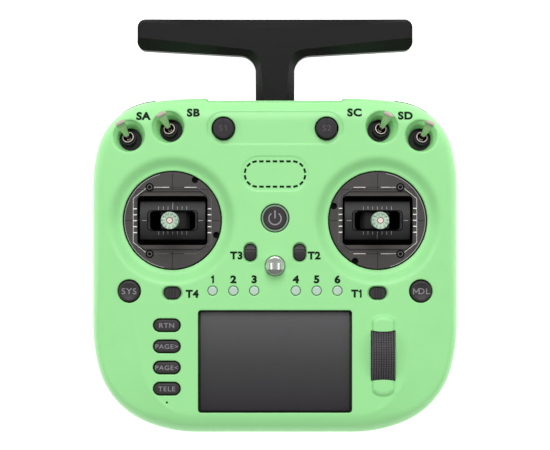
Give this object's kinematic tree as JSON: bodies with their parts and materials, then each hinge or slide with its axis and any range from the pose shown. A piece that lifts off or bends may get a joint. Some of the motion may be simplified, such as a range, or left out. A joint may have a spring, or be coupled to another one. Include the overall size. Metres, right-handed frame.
{
  "type": "radio transmitter controller",
  "caption": "Handheld two-stick radio transmitter in a soft green sleeve, with toggle switches, knobs, trims, keys, a scroll roller, a screen and a folding T antenna.",
  "frame": {"origin": "middle of the whole object's box, on the surface that its rear pads rest on", "axes": "+Z out of the front face with the sticks, +Y towards the antenna, +X to the user's right"},
  "size_m": [0.1876, 0.2149, 0.0694],
  "materials": {
    "silicone": "matte",
    "black_plastic": "satin",
    "pad_rubber": "matte",
    "steel": "brushed",
    "lever_metal": "polished",
    "chrome": "polished",
    "mint_aluminium": "anodised",
    "lens_glass": "gloss",
    "panel": "gloss",
    "key_clear": "satin",
    "ring_clear": "satin",
    "key_plastic": "satin",
    "bezel_plastic": "satin",
    "gimbal_plastic": "satin",
    "board": "solder mask",
    "cell_wrap": "shrink wrap",
    "tinned": "tinned",
    "roller_rubber": "ribbed"
  },
  "bodies": {
    "radio_body": {"silicone_sleeve": "silicone", "front_shell": "black_plastic", "rear_shell": "black_plastic", "battery_pack": "cell_wrap", "rear_grips": "pad_rubber", "shell_screws": "steel", "gimbal_bezel_left": "bezel_plastic", "gimbal_bezel_right": "bezel_plastic", "gimbal_frame_left": "gimbal_plastic", "gimbal_frame_right": "gimbal_plastic", "bezel_screws": "steel", "toggle_bodies": "steel", "toggle_nuts": "steel", "power_ring": "ring_clear", "knob_pots": "tinned", "screen_lens": "lens_glass", "lcd_panel": "panel", "main_board": "board", "rf_module": "tinned", "speaker": "black_plastic", "lanyard_post": "chrome", "io_sockets": "tinned", "antenna_hinge_pin": "steel"},
    "yoke_left": {"gimbal_yoke_left": "gimbal_plastic"},
    "stick_left": {"stick_shaft_left": "steel", "stick_end_left": "mint_aluminium"},
    "yoke_right": {"gimbal_yoke_right": "gimbal_plastic"},
    "stick_right": {"stick_shaft_right": "steel", "stick_end_right": "mint_aluminium"},
    "toggle_lever_a": {"toggle_lever_a": "lever_metal"},
    "toggle_lever_b": {"toggle_lever_b": "lever_metal"},
    "toggle_lever_c": {"toggle_lever_c": "lever_metal"},
    "toggle_lever_d": {"toggle_lever_d": "lever_metal"},
    "knob_left": {"knob_left": "key_plastic"},
    "knob_right": {"knob_right": "key_plastic"},
    "key_sys": {"key_sys": "key_plastic"},
    "key_mdl": {"key_mdl": "key_plastic"},
    "key_rtn": {"key_rtn": "key_plastic"},
    "key_page_next": {"key_page_next": "key_plastic"},
    "key_page_back": {"key_page_back": "key_plastic"},
    "key_tele": {"key_tele": "key_plastic"},
    "function_key_1": {"function_key_1": "key_clear"},
    "function_key_2": {"function_key_2": "key_clear"},
    "function_key_3": {"function_key_3": "key_clear"},
    "function_key_4": {"function_key_4": "key_clear"},
    "function_key_5": {"function_key_5": "key_clear"},
    "function_key_6": {"function_key_6": "key_clear"},
    "power_button": {"power_button": "key_plastic"},
    "shoulder_button_left": {"shoulder_button_left": "black_plastic"},
    "shoulder_button_right": {"shoulder_button_right": "black_plastic"},
    "trim_t1": {"trim_t1": "black_plastic"},
    "trim_t2": {"trim_t2": "black_plastic"},
    "trim_t3": {"trim_t3": "black_plastic"},
    "trim_t4": {"trim_t4": "black_plastic"},
    "roller_carriage": {"roller_carriage": "black_plastic"},
    "scroll_roller": {"scroll_roller": "roller_rubber"},
    "antenna": {"antenna_blade": "black_plastic"},
    "battery_door": {"battery_door": "black_plastic"},
    "module_bay_cover": {"module_bay_cover": "black_plastic"}
  },
  "joints": [
    {"name": "stick_left_pitch", "type": "hinge", "parent": "radio_body", "child": "yoke_left", "pos_m": [-0.0525, 0.0023, 0.0255], "axis": [1, 0, 0], "range_deg": [-25, 25], "stiffness_Nm_per_rad": 0.06},
    {"name": "stick_left_roll", "type": "hinge", "parent": "yoke_left", "child": "stick_left", "pos_m": [-0.0525, 0.0023, 0.0255], "axis": [0, 1, 0], "range_deg": [-25, 25], "stiffness_Nm_per_rad": 0.06},
    {"name": "stick_right_pitch", "type": "hinge", "parent": "radio_body", "child": "yoke_right", "pos_m": [0.0525, 0.0023, 0.0255], "axis": [1, 0, 0], "range_deg": [-25, 25], "stiffness_Nm_per_rad": 0.06},
    {"name": "stick_right_roll", "type": "hinge", "parent": "yoke_right", "child": "stick_right", "pos_m": [0.0525, 0.0023, 0.0255], "axis": [0, 1, 0], "range_deg": [-25, 25], "stiffness_Nm_per_rad": 0.06},
    {"name": "toggle_a_throw", "type": "hinge", "parent": "radio_body", "child": "toggle_lever_a", "pos_m": [-0.07475, 0.04391, 0.03976], "axis": [-0.8924, -0.4512, 0], "range_deg": [-28, 0]},
    {"name": "toggle_b_throw", "type": "hinge", "parent": "radio_body", "child": "toggle_lever_b", "pos_m": [-0.05365, 0.04821, 0.03976], "axis": [-0.8924, -0.4512, 0], "range_deg": [-28, 0]},
    {"name": "toggle_c_throw", "type": "hinge", "parent": "radio_body", "child": "toggle_lever_c", "pos_m": [0.05365, 0.04821, 0.03976], "axis": [-0.8924, 0.4512, 0], "range_deg": [-28, 0]},
    {"name": "toggle_d_throw", "type": "hinge", "parent": "radio_body", "child": "toggle_lever_d", "pos_m": [0.07475, 0.04391, 0.03976], "axis": [-0.8924, 0.4512, 0], "range_deg": [-28, 0]},
    {"name": "knob_left_turn", "type": "hinge", "parent": "radio_body", "child": "knob_left", "pos_m": [-0.0263, 0.0492, 0.046], "axis": [0, 0, 1], "range_deg": [-150, 150]},
    {"name": "knob_right_turn", "type": "hinge", "parent": "radio_body", "child": "knob_right", "pos_m": [0.0263, 0.0492, 0.046], "axis": [0, 0, 1], "range_deg": [-150, 150]},
    {"name": "key_sys_press", "type": "slide", "parent": "radio_body", "child": "key_sys", "axis": [0, 0, -1], "range_m": [0, 0.0005], "stiffness_N_per_m": 1500},
    {"name": "key_mdl_press", "type": "slide", "parent": "radio_body", "child": "key_mdl", "axis": [0, 0, -1], "range_m": [0, 0.0005], "stiffness_N_per_m": 1500},
    {"name": "key_rtn_press", "type": "slide", "parent": "radio_body", "child": "key_rtn", "axis": [0, 0, -1], "range_m": [0, 0.0005], "stiffness_N_per_m": 1500},
    {"name": "key_page_next_press", "type": "slide", "parent": "radio_body", "child": "key_page_next", "axis": [0, 0, -1], "range_m": [0, 0.0005], "stiffness_N_per_m": 1500},
    {"name": "key_page_back_press", "type": "slide", "parent": "radio_body", "child": "key_page_back", "axis": [0, 0, -1], "range_m": [0, 0.0005], "stiffness_N_per_m": 1500},
    {"name": "key_tele_press", "type": "slide", "parent": "radio_body", "child": "key_tele", "axis": [0, 0, -1], "range_m": [0, 0.0005], "stiffness_N_per_m": 1500},
    {"name": "function_key_1_press", "type": "slide", "parent": "radio_body", "child": "function_key_1", "axis": [0, 0, -1], "range_m": [0, 0.0005], "stiffness_N_per_m": 1500},
    {"name": "function_key_2_press", "type": "slide", "parent": "radio_body", "child": "function_key_2", "axis": [0, 0, -1], "range_m": [0, 0.0005], "stiffness_N_per_m": 1500},
    {"name": "function_key_3_press", "type": "slide", "parent": "radio_body", "child": "function_key_3", "axis": [0, 0, -1], "range_m": [0, 0.0005], "stiffness_N_per_m": 1500},
    {"name": "function_key_4_press", "type": "slide", "parent": "radio_body", "child": "function_key_4", "axis": [0, 0, -1], "range_m": [0, 0.0005], "stiffness_N_per_m": 1500},
    {"name": "function_key_5_press", "type": "slide", "parent": "radio_body", "child": "function_key_5", "axis": [0, 0, -1], "range_m": [0, 0.0005], "stiffness_N_per_m": 1500},
    {"name": "function_key_6_press", "type": "slide", "parent": "radio_body", "child": "function_key_6", "axis": [0, 0, -1], "range_m": [0, 0.0005], "stiffness_N_per_m": 1500},
    {"name": "power_button_press", "type": "slide", "parent": "radio_body", "child": "power_button", "axis": [0, 0, -1], "range_m": [0, 0.0005], "stiffness_N_per_m": 1500},
    {"name": "shoulder_button_left_press", "type": "slide", "parent": "radio_body", "child": "shoulder_button_left", "axis": [0, -1, 0], "range_m": [0, 0.0015], "stiffness_N_per_m": 600},
    {"name": "shoulder_button_right_press", "type": "slide", "parent": "radio_body", "child": "shoulder_button_right", "axis": [0, -1, 0], "range_m": [0, 0.0015], "stiffness_N_per_m": 600},
    {"name": "trim_t1_rock", "type": "hinge", "parent": "radio_body", "child": "trim_t1", "pos_m": [0.0524, -0.0347, 0.0424], "axis": [0, 1, 0], "range_deg": [-4, 4], "stiffness_Nm_per_rad": 0.05},
    {"name": "trim_t2_rock", "type": "hinge", "parent": "radio_body", "child": "trim_t2", "pos_m": [0.01255, -0.0141, 0.0424], "axis": [1, 0, 0], "range_deg": [-4, 4], "stiffness_Nm_per_rad": 0.05},
    {"name": "trim_t3_rock", "type": "hinge", "parent": "radio_body", "child": "trim_t3", "pos_m": [-0.01255, -0.0141, 0.0424], "axis": [1, 0, 0], "range_deg": [-4, 4], "stiffness_Nm_per_rad": 0.05},
    {"name": "trim_t4_rock", "type": "hinge", "parent": "radio_body", "child": "trim_t4", "pos_m": [-0.0524, -0.0347, 0.0424], "axis": [0, 1, 0], "range_deg": [-4, 4], "stiffness_Nm_per_rad": 0.05},
    {"name": "roller_press", "type": "slide", "parent": "radio_body", "child": "roller_carriage", "axis": [0, 0, -1], "range_m": [0, 0.0008], "stiffness_N_per_m": 1200},
    {"name": "roller_spin", "type": "hinge", "parent": "roller_carriage", "child": "scroll_roller", "pos_m": [0.0551, -0.0665, 0.0356], "axis": [1, 0, 0], "continuous": true},
    {"name": "antenna_fold", "type": "hinge", "parent": "radio_body", "child": "antenna", "pos_m": [0, 0.058, 0.014], "axis": [1, 0, 0], "range_deg": [-95, 0]},
    {"name": "battery_door_slide", "type": "slide", "parent": "radio_body", "child": "battery_door", "axis": [0, -1, 0], "range_m": [0, 0.015]},
    {"name": "module_cover_lift", "type": "slide", "parent": "radio_body", "child": "module_bay_cover", "axis": [0, 0, -1], "range_m": [0, 0.03]}
  ]
}
